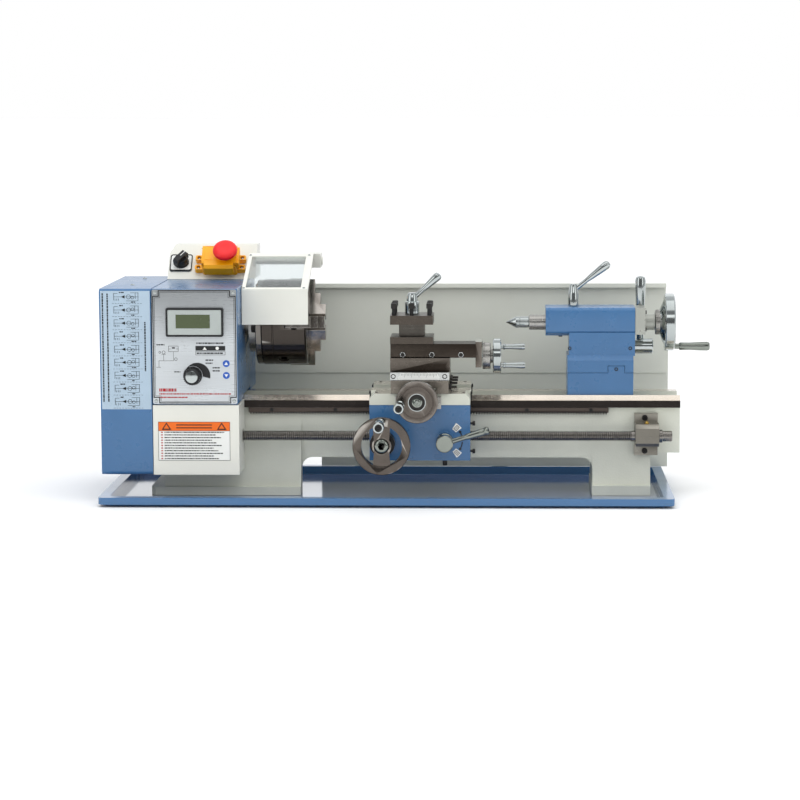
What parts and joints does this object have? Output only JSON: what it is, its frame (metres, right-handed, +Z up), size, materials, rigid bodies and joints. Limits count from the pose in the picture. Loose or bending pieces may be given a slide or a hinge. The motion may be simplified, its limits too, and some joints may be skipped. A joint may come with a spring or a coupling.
{
  "type": "metal lathe",
  "caption": "Benchtop metal lathe on a chip tray: geared headstock with jaw chuck and hinged guard, V-way bed, carriage with cross and top slides, tool post and tailstock.",
  "frame": {"origin": "middle of the chip tray's flat underside, below the spindle axis plane", "axes": "+X along the bed from headstock to tailstock, +Y away from the operator, +Z up"},
  "size_m": [0.88, 0.37, 0.3661],
  "materials": {
    "blue_paint": "gloss",
    "casting_paint": "semi-gloss",
    "white_paint": "semi-gloss",
    "sheet_paint": "semi-gloss",
    "dark_steel": "ground and oiled",
    "steel": "turned",
    "chrome": "polished",
    "brushed_plate": "brushed",
    "black_plastic": "satin",
    "motor_paint": "satin",
    "rubber": "matt",
    "yellow_plastic": "gloss",
    "red_plastic": "gloss",
    "clear_plastic": "clear"
  },
  "bodies": {
    "frame": {"chip_tray": "blue_paint", "bed_casting": "casting_paint", "gear_rack": "dark_steel", "leadscrew_right_bracket": "steel", "headstock_casting": "blue_paint", "front_bearing": "steel", "rear_bearing": "steel", "spindle_motor": "motor_paint", "drive_belt": "rubber", "change_gear_cover": "blue_paint", "control_faceplate": "brushed_plate", "speed_display": "black_plastic", "electrics_box": "white_paint", "gear_banjo": "dark_steel", "switch_box": "white_paint", "stop_switch_base": "yellow_plastic", "splash_guard": "sheet_paint"},
    "spindle": {"spindle": "steel", "chuck_backplate": "steel", "chuck_body": "steel", "spindle_pulley": "steel", "spindle_gear": "steel"},
    "jaw_1": {"chuck_jaw_1": "steel"},
    "jaw_2": {"chuck_jaw_2": "steel"},
    "jaw_3": {"chuck_jaw_3": "steel"},
    "motor_pulley": {"motor_pulley": "steel"},
    "idler": {"idler_gear": "steel"},
    "lead_screw": {"lead_screw": "steel"},
    "speed_knob": {"speed_knob": "black_plastic"},
    "direction_knob": {"direction_knob": "black_plastic"},
    "stop_flap": {"stop_flap": "yellow_plastic"},
    "stop_button": {"stop_button": "red_plastic"},
    "chuck_guard": {"chuck_guard": "white_paint", "guard_window": "clear_plastic"},
    "carriage": {"saddle": "casting_paint", "apron": "blue_paint", "cross_feed_bracket": "steel"},
    "apron_handwheel": {"apron_handwheel": "steel"},
    "apron_handle": {"apron_handle": "chrome"},
    "rack_pinion": {"rack_pinion": "steel"},
    "half_nut_upper": {"half_nut_upper": "dark_steel"},
    "half_nut_lower": {"half_nut_lower": "dark_steel"},
    "half_nut_lever": {"half_nut_lever": "chrome"},
    "cross_handwheel": {"cross_handwheel": "steel"},
    "cross_handle": {"cross_handle": "chrome"},
    "cross_slide": {"cross_slide": "dark_steel"},
    "top_slide_base": {"top_slide_base": "dark_steel"},
    "top_slide": {"top_slide": "dark_steel"},
    "top_slide_handwheel": {"top_slide_handwheel": "chrome"},
    "tool_post": {"tool_post": "dark_steel"},
    "tool_post_lever": {"tool_post_lever": "chrome"},
    "tailstock": {"tailstock_base": "blue_paint", "tailstock_body": "blue_paint", "tailstock_end_plate": "steel"},
    "quill": {"quill": "steel", "dead_centre": "steel"},
    "tailstock_handwheel": {"tailstock_handwheel": "chrome"},
    "tailstock_handle": {"tailstock_handle": "dark_steel"},
    "quill_lock_lever": {"quill_lock_lever": "chrome"},
    "tailstock_clamp_lever": {"tailstock_clamp_lever": "chrome"}
  },
  "joints": [
    {"name": "spindle_spin", "type": "hinge", "parent": "frame", "child": "spindle", "pos_m": [-0.15, 0, 0.2487], "axis": [1, 0, 0], "continuous": true},
    {"name": "jaw_1_slide", "type": "slide", "parent": "spindle", "child": "jaw_1", "axis": [0, 0.5736, 0.8192], "range_m": [-0.003, 0.0035]},
    {"name": "jaw_2_slide", "type": "slide", "parent": "spindle", "child": "jaw_2", "axis": [0, -0.9962, 0.0872], "range_m": [-0.003, 0.0035]},
    {"name": "jaw_3_slide", "type": "slide", "parent": "spindle", "child": "jaw_3", "axis": [0, 0.4226, -0.9063], "range_m": [-0.003, 0.0035]},
    {"name": "motor_pulley_spin", "type": "hinge", "parent": "frame", "child": "motor_pulley", "pos_m": [-0.346, 0.086, 0.225], "axis": [1, 0, 0], "continuous": true},
    {"name": "idler_spin", "type": "hinge", "parent": "frame", "child": "idler", "pos_m": [-0.368, -0.05241, 0.18306], "axis": [1, 0, 0], "continuous": true},
    {"name": "lead_screw_spin", "type": "hinge", "parent": "frame", "child": "lead_screw", "pos_m": [0, -0.076, 0.09], "axis": [1, 0, 0], "continuous": true},
    {"name": "speed_knob_turn", "type": "hinge", "parent": "frame", "child": "speed_knob", "pos_m": [-0.2763, -0.14, 0.1836], "axis": [0, 1, 0], "range_deg": [0, 270]},
    {"name": "direction_knob_turn", "type": "hinge", "parent": "frame", "child": "direction_knob", "pos_m": [-0.317, 0.06839, 0.33799], "axis": [0, -0.7413, 0.6712], "range_deg": [-45, 45]},
    {"name": "stop_flap_hinge", "type": "hinge", "parent": "frame", "child": "stop_flap", "pos_m": [-0.257, 0.06762, 0.35353], "axis": [-1, 0, 0], "range_deg": [0, 100]},
    {"name": "stop_button_press", "type": "slide", "parent": "stop_flap", "child": "stop_button", "axis": [0, 0.7413, -0.6712], "range_m": [0, 0.004], "stiffness_N_per_m": 400, "springref_m": -0.002},
    {"name": "chuck_guard_hinge", "type": "hinge", "parent": "frame", "child": "chuck_guard", "pos_m": [-0.16, 0.078, 0.334], "axis": [-1, 0, 0], "range_deg": [0, 75]},
    {"name": "carriage_slide", "type": "slide", "parent": "frame", "child": "carriage", "axis": [1, 0, 0], "range_m": [-0.085, 0.06]},
    {"name": "apron_handwheel_turn", "type": "hinge", "parent": "carriage", "child": "apron_handwheel", "pos_m": [-0.006, -0.15, 0.085], "axis": [0, 1, 0], "continuous": true},
    {"name": "apron_handle_spin", "type": "hinge", "parent": "apron_handwheel", "child": "apron_handle", "pos_m": [-0.0075, -0.185, 0.119], "axis": [0, 1, 0], "continuous": true},
    {"name": "rack_pinion_turn", "type": "hinge", "parent": "carriage", "child": "rack_pinion", "pos_m": [0.00879, -0.075, 0.1111], "axis": [0, 1, 0], "continuous": true},
    {"name": "half_nut_lever_turn", "type": "hinge", "parent": "carriage", "child": "half_nut_lever", "pos_m": [0.0833, -0.128, 0.087], "axis": [0, 1, 0], "range_deg": [0, 35]},
    {"name": "half_nut_upper_slide", "type": "slide", "parent": "carriage", "child": "half_nut_upper", "axis": [0, 0, 1], "range_m": [-0.0037, 0]},
    {"name": "half_nut_lower_slide", "type": "slide", "parent": "carriage", "child": "half_nut_lower", "axis": [0, 0, 1], "range_m": [0, 0.0037]},
    {"name": "cross_slide_feed", "type": "slide", "parent": "carriage", "child": "cross_slide", "axis": [0, -1, 0], "range_m": [-0.055, 0.02]},
    {"name": "cross_handwheel_turn", "type": "hinge", "parent": "carriage", "child": "cross_handwheel", "pos_m": [0.045, -0.15, 0.1494], "axis": [0, 1, 0], "continuous": true},
    {"name": "cross_handle_spin", "type": "hinge", "parent": "cross_handwheel", "child": "cross_handle", "pos_m": [0.021, -0.19, 0.1464], "axis": [0, 1, 0], "continuous": true},
    {"name": "top_slide_swivel", "type": "hinge", "parent": "cross_slide", "child": "top_slide_base", "pos_m": [0.047, -0.0625, 0.18], "axis": [0, 0, 1], "range_deg": [-45, 45]},
    {"name": "top_slide_feed", "type": "slide", "parent": "top_slide_base", "child": "top_slide", "axis": [-1, 0, 0], "range_m": [-0.012, 0.035]},
    {"name": "top_slide_handwheel_turn", "type": "hinge", "parent": "top_slide", "child": "top_slide_handwheel", "pos_m": [0.155, -0.061, 0.205], "axis": [1, 0, 0], "continuous": true},
    {"name": "tool_post_turn", "type": "hinge", "parent": "top_slide", "child": "tool_post", "pos_m": [0.035, -0.061, 0.245], "axis": [0, 0, 1], "continuous": true},
    {"name": "tool_post_lever_turn", "type": "hinge", "parent": "top_slide", "child": "tool_post_lever", "pos_m": [0.035, -0.061, 0.28], "axis": [0, 0, 1], "range_deg": [-90, 60]},
    {"name": "tailstock_slide", "type": "slide", "parent": "frame", "child": "tailstock", "axis": [1, 0, 0], "range_m": [-0.05, 0.04]},
    {"name": "quill_feed", "type": "slide", "parent": "tailstock", "child": "quill", "axis": [-1, 0, 0], "range_m": [0, 0.055]},
    {"name": "tailstock_handwheel_turn", "type": "hinge", "parent": "tailstock", "child": "tailstock_handwheel", "pos_m": [0.405, 0, 0.2487], "axis": [1, 0, 0], "continuous": true},
    {"name": "tailstock_handle_spin", "type": "hinge", "parent": "tailstock_handwheel", "child": "tailstock_handle", "pos_m": [0.445, 0, 0.2132], "axis": [1, 0, 0], "continuous": true},
    {"name": "quill_lock_turn", "type": "hinge", "parent": "tailstock", "child": "quill_lock_lever", "pos_m": [0.2698, 0, 0.285], "axis": [0, 0, 1], "range_deg": [-60, 30]},
    {"name": "tailstock_clamp_turn", "type": "hinge", "parent": "tailstock", "child": "tailstock_clamp_lever", "pos_m": [0.38, 0.025, 0.211], "axis": [1, 0, 0], "range_deg": [-45, 0]}
  ],
  "couplings": [
    {"joint": "motor_pulley_spin", "follows": "spindle_spin", "ratio": 2.5},
    {"joint": "idler_spin", "follows": "spindle_spin", "ratio": -0.4},
    {"joint": "lead_screw_spin", "follows": "spindle_spin", "ratio": 0.66667},
    {"joint": "jaw_2_slide", "follows": "jaw_1_slide", "ratio": 1},
    {"joint": "jaw_3_slide", "follows": "jaw_1_slide", "ratio": 1},
    {"joint": "rack_pinion_turn", "follows": "carriage_slide", "rad_per_m": -114.29},
    {"joint": "apron_handwheel_turn", "follows": "carriage_slide", "rad_per_m": 342.86},
    {"joint": "half_nut_upper_slide", "follows": "half_nut_lever_turn", "m_per_rad": -0.00605},
    {"joint": "half_nut_lower_slide", "follows": "half_nut_lever_turn", "m_per_rad": 0.00605},
    {"joint": "cross_handwheel_turn", "follows": "cross_slide_feed", "rad_per_m": -3141.6},
    {"joint": "top_slide_handwheel_turn", "follows": "top_slide_feed", "rad_per_m": -3141.6},
    {"joint": "tailstock_handwheel_turn", "follows": "quill_feed", "rad_per_m": -3141.6}
  ]
}
